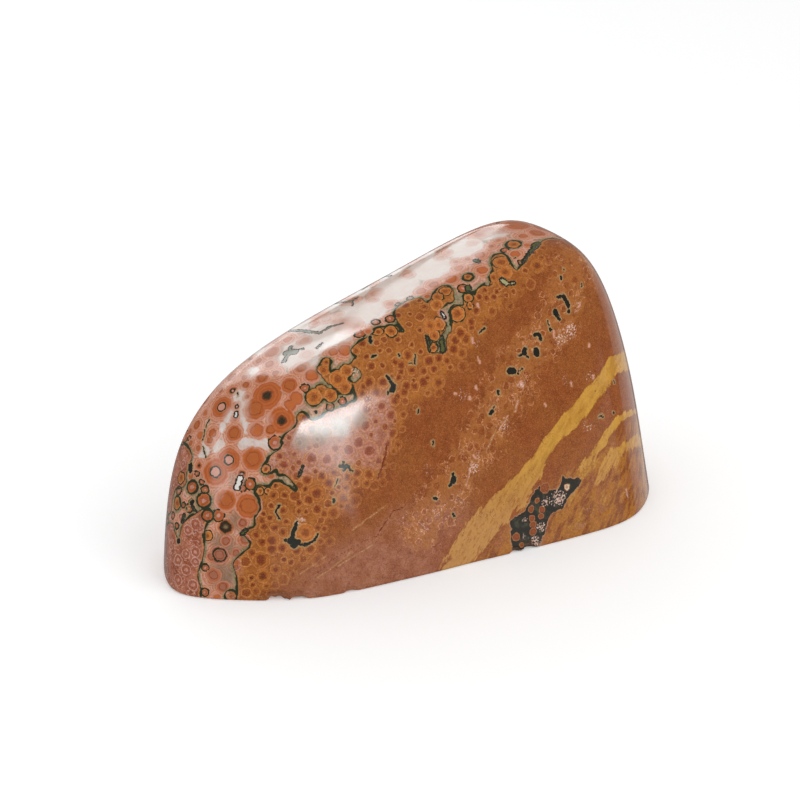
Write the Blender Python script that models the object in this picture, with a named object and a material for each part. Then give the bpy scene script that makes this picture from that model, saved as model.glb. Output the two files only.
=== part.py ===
"""A polished landscape jasper: one stone, sawn flat underneath and ground to soft faces all round.

It stands on its sawn base at z = 0, long side along X, with the broad show face towards -Y and the
tall end towards +X. The origin is the middle of the base. Units are metres.
"""

import math

import bmesh
import bpy
from mathutils import Vector, noise

# Driving dimensions
STONE_LENGTH = 0.150
RIM_BEVEL = 0.0007
RIM_BEVEL_STEPS = 2

# The ground faces. Each has the compass angle that it faces (0 is +X, 90 is +Y) and its lean above
# the horizon, both in degrees, and its reach from the middle of the base.
GROUND_FACES = {
    "front": (-94.5, 15.0, 0.0303),
    "nose front": (-124.0, 12.0, 0.0453),
    "nose low": (-171.0, 3.0, 0.0754),
    "nose": (-176.5, 24.5, 0.0813),
    "nose top": (-166.0, 39.0, 0.0678),
    "top slope": (-172.0, 75.0, 0.0653),
    "top front": (-108.0, 57.0, 0.0764),
    "right front": (-54.5, 11.5, 0.0614),
    "right": (-3.0, 5.0, 0.0802),
    "right top": (4.5, 36.0, 0.0927),
    "summit": (-9.5, 67.0, 0.1042),
    "back right": (60.0, 9.5, 0.0610),
    "back": (96.0, 10.0, 0.0279),
    "back top": (100.5, 57.5, 0.0818),
    "back left": (148.5, 3.0, 0.0616),
}
EDGE_TIGHTNESS = 13.0

# Grinding by hand leaves the faces a little uneven: the share of the reach that comes and goes, and
# how many times it does so around the stone.
WAVER_SHARE = 0.006
WAVER_RATE = 2.2

# The mesh: squares along half a side of the starting cube, and how far that cube is stretched, so
# that the squares come out even on a long, low stone.
SQUARES_PER_HALF_SIDE = 16
CUBE_STRETCH = Vector((1.5, 0.8, 1.0))

# Finish
JASPER_COLOUR = (0.40, 0.14, 0.055, 1.0)
POLISH_ROUGHNESS = 0.12


def clear_scene():
    for old in list(bpy.data.objects):
        bpy.data.objects.remove(old, do_unlink=True)


def facing(azimuth, lean):
    """The unit vector at a compass angle and a lean above the horizon, in degrees."""
    flat = math.cos(math.radians(lean))
    across = math.radians(azimuth)
    return Vector((math.cos(across) * flat, math.sin(across) * flat, math.sin(math.radians(lean))))


FACE_NORMALS = [
    (facing(azimuth, lean), reach) for azimuth, lean, reach in GROUND_FACES.values()
]


def reach_along(direction):
    """How far the stone reaches from the middle of its base: the ground faces, blended at their edges."""
    total = 0.0
    for normal, reach in FACE_NORMALS:
        total += max(0.0, normal.dot(direction) / reach) ** EDGE_TIGHTNESS
    even = total ** (-1.0 / EDGE_TIGHTNESS)
    return even * (1.0 + WAVER_SHARE * noise.noise(direction * WAVER_RATE))


def even_direction(corner):
    """The direction of a point on the starting cube, spread so that the squares are alike."""
    spread = [math.tan(value * math.pi / 4) for value in corner]
    return Vector([value * stretch for value, stretch in zip(spread, CUBE_STRETCH)]).normalized()


def add_upper_half_cube(bm):
    """A cube of squares, kept from its waist up, open underneath."""
    bmesh.ops.create_cube(bm, size=2.0)
    bmesh.ops.subdivide_edges(bm, edges=bm.edges, cuts=2 * SQUARES_PER_HALF_SIDE - 1, use_grid_fill=True)
    below = [v for v in bm.verts if v.co.z < -0.5 / SQUARES_PER_HALF_SIDE]
    bmesh.ops.delete(bm, geom=below, context="VERTS")


def blow_out_to_faces(bm):
    """Moves each point of the cube out to the ground faces."""
    for v in bm.verts:
        direction = even_direction(v.co)
        v.co = direction * reach_along(direction)


def centre_and_size(bm):
    """Puts the origin in the middle of the base and brings the stone to its length."""
    low = Vector([min(v.co[axis] for v in bm.verts) for axis in range(3)])
    high = Vector([max(v.co[axis] for v in bm.verts) for axis in range(3)])
    middle = Vector(((low.x + high.x) / 2, (low.y + high.y) / 2, 0.0))
    bmesh.ops.translate(bm, verts=bm.verts, vec=-middle)
    growth = STONE_LENGTH / (high.x - low.x)
    bmesh.ops.scale(bm, verts=bm.verts, vec=(growth, growth, growth))


def close_sawn_base(bm):
    """Closes the base with one flat face and rounds its sharp rim a little."""
    rim = [e for e in bm.edges if e.is_boundary]
    for v in {v for e in rim for v in e.verts}:
        v.co.z = 0.0
    bmesh.ops.contextual_create(bm, geom=rim)
    bmesh.ops.bevel(
        bm, geom=rim, offset=RIM_BEVEL, segments=RIM_BEVEL_STEPS, profile=0.5, affect="EDGES"
    )
    bmesh.ops.recalc_face_normals(bm, faces=bm.faces)


def polished_jasper():
    material = bpy.data.materials.new("polished jasper")
    material.use_nodes = True
    shader = material.node_tree.nodes["Principled BSDF"]
    shader.inputs["Base Color"].default_value = JASPER_COLOUR
    shader.inputs["Roughness"].default_value = POLISH_ROUGHNESS
    shader.inputs["Metallic"].default_value = 0.0
    return material


def build_stone():
    bm = bmesh.new()
    add_upper_half_cube(bm)
    blow_out_to_faces(bm)
    close_sawn_base(bm)
    centre_and_size(bm)
    mesh = bpy.data.meshes.new("jasper_stone")
    bm.to_mesh(mesh)
    bm.free()
    mesh.shade_smooth()
    mesh.set_sharp_from_angle(angle=math.radians(40))
    mesh.materials.append(polished_jasper())
    stone = bpy.data.objects.new("jasper_stone", mesh)
    bpy.context.scene.collection.objects.link(stone)
    return stone


clear_scene()
build_stone()
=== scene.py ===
import math
import random

import bpy
import numpy as np
from mathutils import Matrix, Vector, noise
from mathutils.bvhtree import BVHTree
from mathutils.kdtree import KDTree


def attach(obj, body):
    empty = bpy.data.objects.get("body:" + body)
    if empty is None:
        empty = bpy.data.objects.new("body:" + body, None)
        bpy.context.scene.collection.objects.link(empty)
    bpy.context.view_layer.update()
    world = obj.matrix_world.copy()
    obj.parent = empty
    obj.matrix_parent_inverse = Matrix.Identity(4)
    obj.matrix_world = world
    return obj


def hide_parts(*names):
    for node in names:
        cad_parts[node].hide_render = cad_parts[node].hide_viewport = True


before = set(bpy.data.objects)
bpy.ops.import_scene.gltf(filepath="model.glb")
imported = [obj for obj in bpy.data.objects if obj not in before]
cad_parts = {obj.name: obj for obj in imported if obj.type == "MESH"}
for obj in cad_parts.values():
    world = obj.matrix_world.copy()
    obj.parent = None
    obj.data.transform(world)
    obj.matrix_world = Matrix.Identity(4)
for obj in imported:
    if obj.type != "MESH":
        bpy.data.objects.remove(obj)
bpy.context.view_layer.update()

# The camera stands where the photograph was taken from. Places on the stone are given by the pixel
# of the photograph that shows them, in its frame of 800 by 800.
photoView = {
    "pixels": 800,
    "azimuth": -32.12,       # degrees, 0 looks along +Y
    "elevation": 24.0,
    "distance": 0.713,       # metres, from the point that it looks at
    "lens": 117.5,
    "sensor": 36.0,
    "aimHeight": 0.038,
    "aimRight": -0.0025,
    "aimUp": -0.0012,
    "clip": (0.01, 20.0),
}
viewTurn, viewLean = math.radians(photoView["azimuth"]), math.radians(photoView["elevation"])
viewBack = np.array([math.sin(viewTurn) * math.cos(viewLean), -math.cos(viewTurn) * math.cos(viewLean),
                     math.sin(viewLean)])
viewRight = np.array([math.cos(viewTurn), math.sin(viewTurn), 0.0])
viewUp = np.cross(viewBack, viewRight)
viewEye = (np.array([0.0, 0.0, photoView["aimHeight"]]) + viewRight * photoView["aimRight"]
           + viewUp * photoView["aimUp"] + viewBack * photoView["distance"])
pixelsPerSlope = photoView["lens"] / photoView["sensor"] * photoView["pixels"]
pixelSize = photoView["distance"] / pixelsPerSlope      # metres on the stone that a pixel shows

def makeCamera():
    lens = bpy.data.cameras.new("photo camera")
    lens.lens, lens.sensor_width = photoView["lens"], photoView["sensor"]
    lens.clip_start, lens.clip_end = photoView["clip"]
    camera = bpy.data.objects.new("photo camera", lens)
    turned = Matrix([viewRight, viewUp, viewBack]).transposed()
    camera.matrix_world = Matrix.Translation(viewEye) @ turned.to_4x4()
    bpy.context.scene.collection.objects.link(camera)
    bpy.context.scene.camera = camera

def pixelsOf(points):
    away = points - viewEye
    depth = -(away @ viewBack)
    half = photoView["pixels"] / 2
    return np.stack([half + away @ viewRight / depth * pixelsPerSlope,
                     half - away @ viewUp / depth * pixelsPerSlope], axis=1)

def rayThrough(x, y):
    half = photoView["pixels"] / 2
    across, down = (x - half) / pixelsPerSlope, (y - half) / pixelsPerSlope
    return Vector(viewRight * across - viewUp * down - viewBack).normalized()

makeCamera()
print("camera placed")

# The stone. It takes the CAD solid's own shape, with finer faces.
stoneShape = {
    "subdivisions": 2,
    "baseRings": (0.93, 0.85, 0.82, 0.78, 0.7, 0.55, 0.4),    # on the sawn base, each against the last
    "baseWithin": 0.00002,   # faces no higher than this are the sawn base
    "joinWithin": 0.00001,
    "quadAngle": 60.0,       # degrees, the most that two triangles of one quad may differ
    "halfLength": 0.075,
    "halfDepth": 0.034,
}

def deselectAll():
    if bpy.context.mode != "OBJECT":
        bpy.ops.object.mode_set(mode="OBJECT")
    bpy.ops.object.select_all(action="DESELECT")

def editOnly(piece, element):
    deselectAll()
    bpy.context.view_layer.objects.active = piece
    piece.select_set(True)
    bpy.ops.object.mode_set(mode="EDIT")
    bpy.ops.mesh.select_mode(type=element)
    bpy.ops.mesh.select_all(action="DESELECT")

def selectFaces(piece, chosen):
    bpy.ops.object.mode_set(mode="OBJECT")
    for face in piece.data.polygons:
        face.select = chosen(face)
    bpy.ops.object.mode_set(mode="EDIT")

def makeStone():
    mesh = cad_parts["jasper_stone"].data.copy()
    mesh.materials.clear()
    stone = bpy.data.objects.new("landscape_jasper", mesh)
    bpy.context.scene.collection.objects.link(stone)
    editOnly(stone, "FACE")
    bpy.ops.mesh.select_all(action="SELECT")
    bpy.ops.mesh.customdata_custom_splitnormals_clear()
    bpy.ops.mesh.remove_doubles(threshold=stoneShape["joinWithin"])
    selectFaces(stone, lambda face: face.center.z < stoneShape["baseWithin"])
    bpy.ops.mesh.delete(type="FACE")
    bpy.ops.mesh.select_all(action="SELECT")
    quadAngle = math.radians(stoneShape["quadAngle"])
    bpy.ops.mesh.tris_convert_to_quads(face_threshold=quadAngle, shape_threshold=quadAngle)
    bpy.ops.mesh.select_mode(type="EDGE")
    bpy.ops.mesh.select_all(action="DESELECT")
    bpy.ops.mesh.select_non_manifold(extend=False)
    bpy.ops.mesh.edge_face_add()
    for share in stoneShape["baseRings"]:
        bpy.ops.mesh.inset(thickness=0.0, use_boundary=True)
        bpy.ops.transform.resize(value=(share, share, 1.0), center_override=(0.0, 0.0, 0.0))
    bpy.ops.mesh.select_all(action="SELECT")
    bpy.ops.mesh.normals_make_consistent(inside=False)
    bpy.ops.object.mode_set(mode="OBJECT")
    finer = stone.modifiers.new("finer", "SUBSURF")
    finer.levels = finer.render_levels = stoneShape["subdivisions"]
    bpy.ops.object.modifier_apply(modifier=finer.name)
    bpy.ops.object.shade_smooth()
    return stone

stone = makeStone()
print("stone shaped:", len(stone.data.polygons), "faces")

# Measuring on the stone, in metres
def numbersFrom(collection, name, width=3):
    values = np.zeros(len(collection) * width)
    collection.foreach_get(name, values)
    return values.reshape(-1, width) if width > 1 else values

def verticesOf(piece):
    return numbersFrom(piece.data.vertices, "co")

def normalsOf(piece):
    return numbersFrom(piece.data.vertices, "normal")

def fieldOf(piece, name):
    return numbersFrom(piece.data.attributes[name].data, "value", 1)

def keep(piece, name, values, domain="POINT"):
    values = np.asarray(values, np.float32)
    kind, field = ("FLOAT_VECTOR", "vector") if values.ndim > 1 else ("FLOAT", "value")
    layer = piece.data.attributes.new(name, kind, domain)
    layer.data.foreach_set(field, values.ravel())

def softStep(values, low, high):
    share = np.clip((values - low) / (high - low), 0.0, 1.0)
    return share * share * (3.0 - 2.0 * share)

def distances(points, place):
    return np.linalg.norm(points - place, axis=1)

def gapToStretch(points, start, end):
    along = end - start
    share = np.clip((points - start) @ along / max(along @ along, 1e-12), 0.0, 1.0)
    return np.linalg.norm(points - start - share[:, None] * along, axis=1)

def gapToLine(points, line):
    return np.min([gapToStretch(points, a, b) for a, b in zip(line, line[1:])], axis=0)

def insideOutline(pixels, outline):
    inside = np.zeros(len(pixels), bool)
    x, y = pixels[:, 0], pixels[:, 1]
    for (ax, ay), (bx, by) in zip(outline, outline[1:] + outline[:1]):
        if ay != by:
            crosses = ((ay > y) != (by > y)) & (x < (bx - ax) * (y - ay) / (by - ay) + ax)
            inside ^= crosses
    return inside

def waver(points, size, seed):          # smooth noise from -1 to 1, in patches of this size
    shift = Vector((seed * 17.3, seed * 7.1, seed * 3.7))
    return np.array([noise.noise(Vector(point) / size + shift) for point in points])

def colours(tones):                     # screen colours, 0 to 255, as the shader takes them
    if isinstance(tones, dict):
        return {name: colours(tone) for name, tone in tones.items()}
    if isinstance(tones[0], tuple):
        return tuple(colours(tone) for tone in tones)
    return tuple((part / 255 / 12.92) if part <= 10 else ((part / 255 + 0.055) / 1.055) ** 2.4
                 for part in tones)

stoneTree = BVHTree.FromObject(stone, bpy.context.evaluated_depsgraph_get())

def placeOf(x, y):                      # the place on the stone that a pixel shows
    ray = rayThrough(x, y)
    found = stoneTree.ray_cast(Vector(viewEye), ray)[0]
    if found is None:
        found = stoneTree.find_nearest(Vector(viewEye) + ray * photoView["distance"])[0]
    return np.array(found)

# Flakes broken from the sawn edge, each with its pixel, and its reach and depth in millimetres
baseChips = {
    "places": [(196, 597, 2.2, 0.6), (209, 600, 1.8, 0.5), (222, 601, 2.4, 0.7), (248, 603, 1.6, 0.4),
               (269, 601, 3.2, 1.4), (277, 600, 3.4, 1.3), (288, 600, 3.2, 1.1), (300, 599, 2.8, 0.8),
               (314, 598, 2.2, 0.5), (352, 591, 1.8, 0.5), (404, 580, 2.0, 0.6), (452, 569, 1.8, 0.4),
               (516, 552, 2.0, 0.7), (530, 548, 2.6, 1.1), (598, 531, 1.8, 0.5), (637, 517, 1.6, 0.4)],
    "fade": (0.3, 1.0),      # shares of the reach over which a flake runs out
    "shown": (0.05, 0.25),   # depths over which its dull surface shows
    "lift": 0.5,             # share of the depth that the broken edge rises
    "flatness": 1.3,         # how much less they reach up than along
    "grains": ((0.0007, 0.35, 2), (0.0021, 0.45, 4)),       # roughness: metres, share, seed
}

def chipBase(piece):
    points = verticesOf(piece)
    outward = points * (1 / stoneShape["halfLength"] ** 2, 1 / stoneShape["halfDepth"] ** 2, 0)
    outward /= np.maximum(np.linalg.norm(outward, axis=1), 1e-9)[:, None]
    rough = 1 + sum(share * waver(points, size, seed) for size, share, seed in baseChips["grains"])
    push = np.zeros(len(points))
    for x, y, reach, depth in baseChips["places"]:
        gap = np.linalg.norm((points - placeOf(x, y)) * (1, 1, baseChips["flatness"]), axis=1) * 1000 / reach
        push = np.maximum(push, depth * (1 - softStep(gap * rough, *baseChips["fade"])))
    points -= outward * push[:, None] / 1000
    points[:, 2] += push / 1000 * baseChips["lift"]
    piece.data.vertices.foreach_set("co", points.ravel())
    piece.data.update()
    keep(piece, "chipShare", softStep(push, *baseChips["shown"]))

chipBase(stone)
print("base chipped")

# Where the stone's markings are. Places and widths are in pixels of the photograph.
# The jasper mass meets the banded chalcedony along a scalloped edge, from the foot of the nose up
# over the shoulder to the summit.
massEdge = [
    (236, 604), (237, 587), (236, 573), (233, 567), (234, 560), (243, 553), (252, 545), (247, 538),
    (240.5, 534), (247.5, 529), (255.5, 526.6), (253.8, 518), (258.2, 513), (261, 508), (259, 503),
    (259, 498), (254.6, 494.5), (253.8, 489), (257.3, 484.6), (263.6, 485.5), (269.8, 486.4), (272.5, 481),
    (280.5, 480), (285, 484.6), (291, 487), (297.5, 492.7), (296, 486), (290, 479), (284, 474),
    (277, 475.7), (277, 468.6), (269.8, 473.9), (264.5, 474.8), (261, 470.4), (261.8, 466), (266.3, 462.3),
    (269, 456), (276, 451.6), (281.4, 448), (280.5, 440), (285, 433.8), (292, 429.3), (297.5, 423),
    (296.2, 416), (299.5, 412.3), (304, 411.9), (308, 415.3), (311, 421), (317, 419), (322, 416),
    (324.8, 413), (327.8, 410), (334, 410.4), (338.6, 407.3), (344, 406), (349.3, 403), (352.3, 400.8),
    (358.5, 400.8), (354.6, 394), (354, 387), (354.6, 382.4), (358.5, 379.8), (362.3, 376.3),
    (360.4, 371.7), (357, 368), (351.5, 366), (351.6, 361.8), (354, 358.7), (357, 356.8), (354, 355.3),
    (351.2, 352.6), (350.8, 349.5), (354, 346.5), (356.2, 343.4), (362, 339), (370, 336), (374.5, 333),
    (374, 329.5), (377, 327), (381.6, 326.7), (385, 327), (389, 324.2), (393, 324.6), (396.5, 326),
    (399, 329.5), (400, 333), (404.8, 331.7), (401.5, 328), (396.5, 320), (392.8, 313), (398, 306),
    (408, 300), (418, 297.3), (423, 299), (425.5, 302.2), (428.8, 303), (430.5, 299.8), (432, 295.2),
    (437.5, 288), (439.6, 286.5), (443.7, 285.2), (448.7, 285.7), (452, 288), (454, 291.5), (453, 295.6),
    (455, 299.8), (453, 303), (450.4, 301.8), (445.4, 304.7), (442, 308), (438.4, 310.5), (441.3, 316.3),
    (444.6, 319.7), (447, 323.8), (447, 328), (444.6, 331.7), (441.3, 334), (440.5, 338), (436, 341.5),
    (431, 340.5), (427.5, 336), (425.5, 335), (427, 340), (428, 346.2), (430, 353), (434, 353.5),
    (440, 353.6), (445.4, 353), (446.2, 345), (446.2, 336), (448.7, 333), (452, 331.3), (451.2, 328),
    (452, 321.3), (450.8, 316.3), (450, 311.4), (452, 308), (457.8, 305), (462.5, 306), (463.6, 304.7),
    (463.6, 300.6), (462.4, 296.4), (463, 294), (465, 292.3), (467.8, 291.5), (471, 293), (473.6, 295.2),
    (476, 290.6), (478, 288), (479.8, 285.5), (483, 284.6), (487.3, 286.3), (490.6, 284.6), (493, 283.8),
    (489.8, 279.7), (488, 276.4), (489.8, 273.5), (494, 272.2), (492.2, 268), (490.6, 262.3),
    (491.4, 257.3), (494, 254.4), (497.2, 254.4), (500.5, 252.7), (504.7, 254), (508, 257.3),
    (510.5, 262.3), (513, 266.4), (514.6, 269.7), (518, 270.6), (519.6, 266.4), (523.8, 263), (526.2, 258),
    (529.6, 254.8), (531.2, 250.7), (535.4, 249), (538.7, 247.3), (540.3, 245), (541, 241), (546, 239),
    (554, 238), (562, 240),
]
massBeyond = [(600, 215), (740, 215), (740, 660), (236, 660)]      # closes it outside the stone

# Pieces of the same mass that lie in the chalcedony: rows of touching balls, and two flat patches
massBalls = [
    (325.8, 362.3, 5.2), (323.5, 369, 6.4), (326, 374, 5), (330, 378, 6), (337, 378.5, 8.6),
    (346.2, 371, 7), (345, 386.5, 7.8), (340, 383, 8), (314, 397.3, 8.2), (321, 391.6, 7.2),
    (331, 395.3, 6.9), (513.4, 244.2, 7.8), (468.2, 277, 5.6), (434, 347.6, 4.4), (231, 596, 6),
    (192.3, 487.1, 6.2), (177, 501, 5), (177.5, 505, 5), (203.8, 500.3, 7.2), (207.8, 515.4, 5.8),
    (266, 469, 4.4), (260, 492, 3.4), (244, 480, 1.0),
]
massPatches = [
    [(170, 520), (165, 500), (172, 470), (181, 440), (188.6, 447), (191.3, 452.5), (192, 459.6),
     (188, 468), (186, 475.7), (186.8, 482), (184, 487.3), (179.6, 488.2), (174, 489)],
    [(201, 604), (201, 592), (200, 584), (197, 573), (201, 566), (205, 548), (203.5, 540),
     (206, 523), (211, 520), (204, 508), (199.3, 511.4), (192, 515), (186, 519.5), (181.5, 526),
     (179, 540), (176, 536), (172, 520), (160, 530), (155, 604)],
]

# Bands of yellow jasper across the right of the show face: one outline for each
yellowBands = [
    [(640, 338), (621, 353), (610.4, 354.5), (603.5, 367.5), (593.6, 381.3), (582.8, 392.8), (573, 404),
     (563, 415.7), (553.8, 428), (544.6, 438), (531, 458), (523, 468), (508, 483), (494, 496),
     (482, 509), (470, 524), (459, 539), (450, 553), (443, 566), (440, 580), (463, 576),
     (466, 566), (476, 558), (485, 550), (493, 539), (501, 527), (512, 516), (523, 506),
     (532, 495), (536, 484), (541, 476), (550.7, 455), (555.3, 446), (563, 437), (576.7, 428),
     (582.8, 418.8), (589.7, 410.4), (596.6, 401), (605, 392), (611, 382), (616.5, 373),
     (623.4, 370.6), (650, 372)],
    [(650, 404), (624, 412), (613, 420), (606, 430), (601, 439), (593, 448), (586, 459), (579, 468),
     (584, 472), (592, 463), (599, 452), (607, 445), (612, 433), (620, 423), (634, 414), (650, 412)],
    [(655, 430), (632, 436), (624, 443), (612, 449), (606, 457), (600, 470), (596, 484), (603, 484),
     (608, 474), (616, 462), (624, 453), (634, 447), (655, 446)],
]

# The dark hollow at the foot of the show face, filled with quartz
darkPatch = [
    (561.9, 475.8), (560.8, 483.4), (558, 491), (554.8, 488.8), (551.6, 487.7), (549.4, 490.4),
    (546.7, 494.2), (542.4, 492), (541.3, 485.5), (539, 486.6), (534.2, 492), (529.3, 500.7),
    (526.6, 509.4), (517, 516), (509.8, 521.3), (511, 528), (509.8, 535.4), (511.4, 544), (513.6, 552),
    (527.7, 549), (540.7, 547), (541.8, 537.6), (545, 530), (547.2, 522.4), (549.4, 516), (554.8, 510.5),
    (562.4, 509.4), (565.7, 505), (569, 496.4), (575.4, 490), (579.8, 485.5), (581.4, 477), (575.4, 478),
    (569, 477.4), (563.5, 478),
]

# Ground colours of the mass: an ochre belt inside its edge, and a mixed corner low on the right
ochreBelt = [
    (236, 610), (230, 560), (250, 520), (250, 480), (280, 430), (300, 405), (330, 350), (380, 310),
    (440, 270), (500, 240), (540, 235), (548, 262), (528, 282), (512, 300), (490, 318), (478, 340),
    (458, 362), (440, 385), (425, 398), (405, 412), (398, 440), (388, 462), (372, 482), (345, 500),
    (330, 520), (322, 545), (310, 562), (285, 572), (262, 590), (250, 610),
]
mixedCorner = [
    (660, 395), (632, 420), (612, 440), (590, 462), (566, 470), (545, 492), (520, 512), (500, 530),
    (488, 548), (470, 570), (440, 600), (700, 600), (700, 395),
]
# Pink where the window reflection lies on the show face: partly the stone's own pink, partly painted
# reflection haze
roseAndReflectionPatch = [
    (264, 466), (272, 447), (294, 424), (322, 413), (358, 401), (390, 392), (394, 418), (388, 448),
    (378, 468), (352, 464), (332, 470), (314, 476), (296, 478), (276, 474),
]
# Pink at the foot of the show face: painted reflection haze
pinkReflectionFoot = [
    (280, 606), (296, 580), (312, 566), (336, 548), (364, 534), (392, 510), (430, 500), (468, 512),
    (446, 548), (430, 600),
]
cellBelt = [(572, 262), (560, 315), (530, 352), (508, 385), (494, 418), (470, 455), (440, 505), (422, 530)]

softEdges = {                # half widths in pixels
    "ochre": 16, "mixed": 14, "rose": 5, "pinkReflectionFoot": 14,
    "cells": (10, 38),       # the network is full this near the middle of its belt, and gone this far
    "marks": (0.4, 1.3),     # shares of the reach over which a soft patch fades
    "sawn": (0.9, 0.98),     # how squarely a sawn face looks down
}
# how strongly the painted reflection haze at the foot shows
pinkReflectionFootShare = 0.32

# The far side that the photograph doesn't show
farSide = {
    "seen": (-0.08, 0.14),   # the lean of the surface to the eye over which the two sides meet
    "massFrom": 0.046,       # metres along X, where the mass takes over again on the right end
    "massWander": 0.007,
    "wanderSize": 0.011,
    "balls": 46,
    "ballsInARow": (2, 5),
    "ballSizes": (0.0022, 0.0062),
    "ballSpread": 1.4,       # against their size
    "above": 0.004,          # metres over the floor
    "seed": 11,
}

def cornersOf(outline):
    return [np.array(corner, float) for corner in outline]

def rounded(outline, closed):            # cuts each corner off at a quarter of its sides
    corners = cornersOf(outline)
    pairs = list(zip(corners, corners[1:] + corners[:1] if closed else corners[1:]))
    cut = [tuple(a + (b - a) * share) for a, b in pairs for share in (0.25, 0.75)]
    return cut if closed else [tuple(corners[0])] + cut + [tuple(corners[-1])]

def depthInside(points, pixels, outline, beyond=()):     # metres, negative outside
    outline = rounded(outline, not beyond)
    line = [placeOf(*corner) for corner in outline]
    gap = gapToLine(points, line if beyond else line + line[:1])
    return np.where(insideOutline(pixels, outline + list(beyond)), gap, -gap)

def pixelsInside(pixels, outline):       # pixels, negative outside
    gap = gapToLine(pixels, cornersOf(outline + outline[:1]))
    return np.where(insideOutline(pixels, outline), gap, -gap)

def softShareInside(pixels, outline, edge):
    return softStep(pixelsInside(pixels, outline), -softEdges[edge], softEdges[edge])

def farMass(points, seen):
    draw = random.Random(farSide["seed"])
    far = points[:, 0] - farSide["massFrom"]
    far += farSide["massWander"] * waver(points, farSide["wanderSize"], 3)
    hidden = [index for index in range(len(points))
              if seen[index] < 0.5 and points[index][2] > farSide["above"]]
    for _ in range(farSide["balls"]):
        place = points[draw.choice(hidden)]
        for _ in range(draw.randint(*farSide["ballsInARow"])):
            radius = draw.uniform(*farSide["ballSizes"])
            step = np.array([draw.uniform(-1, 1) for _ in range(3)]) * radius * farSide["ballSpread"]
            far = np.maximum(far, radius - distances(points, place + step))
    return far

def paintFields(piece):
    points, normals = verticesOf(piece), normalsOf(piece)
    pixels = pixelsOf(points)
    toEye = viewEye - points
    toEye /= np.linalg.norm(toEye, axis=1)[:, None]
    seen = softStep(np.sum(toEye * normals, axis=1), *farSide["seen"])

    near = depthInside(points, pixels, massEdge, massBeyond)
    for patch in massPatches:
        near = np.maximum(near, depthInside(points, pixels, patch))
    for x, y, radius in massBalls:
        near = np.maximum(near, radius * pixelSize - distances(points, placeOf(x, y)))
    keep(piece, "massDepth", (seen * near + (1 - seen) * farMass(points, seen)) * 1000)

    bands = np.max([pixelsInside(pixels, band) for band in yellowBands], axis=0)
    keep(piece, "bandDepth", bands * pixelSize * 1000)
    keep(piece, "hollowDepth", depthInside(points, pixels, darkPatch) * 1000)
    keep(piece, "ochreShare", softShareInside(pixels, ochreBelt, "ochre"))
    keep(piece, "mixedShare", softShareInside(pixels, mixedCorner, "mixed"))
    # pink patches: partly painted reflection haze
    rose = np.maximum(softShareInside(pixels, roseAndReflectionPatch, "rose"),
                      softShareInside(pixels, pinkReflectionFoot, "pinkReflectionFoot") * pinkReflectionFootShare)
    keep(piece, "roseAndReflectionShare", rose * seen)
    keep(piece, "cellShare", 1 - softStep(gapToLine(pixels, cornersOf(cellBelt)), *softEdges["cells"]))
    keep(piece, "sawnShare", softStep(-normals[:, 2], *softEdges["sawn"]))
    return seen

seen = paintFields(stone)
print("ground fields painted")

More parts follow.
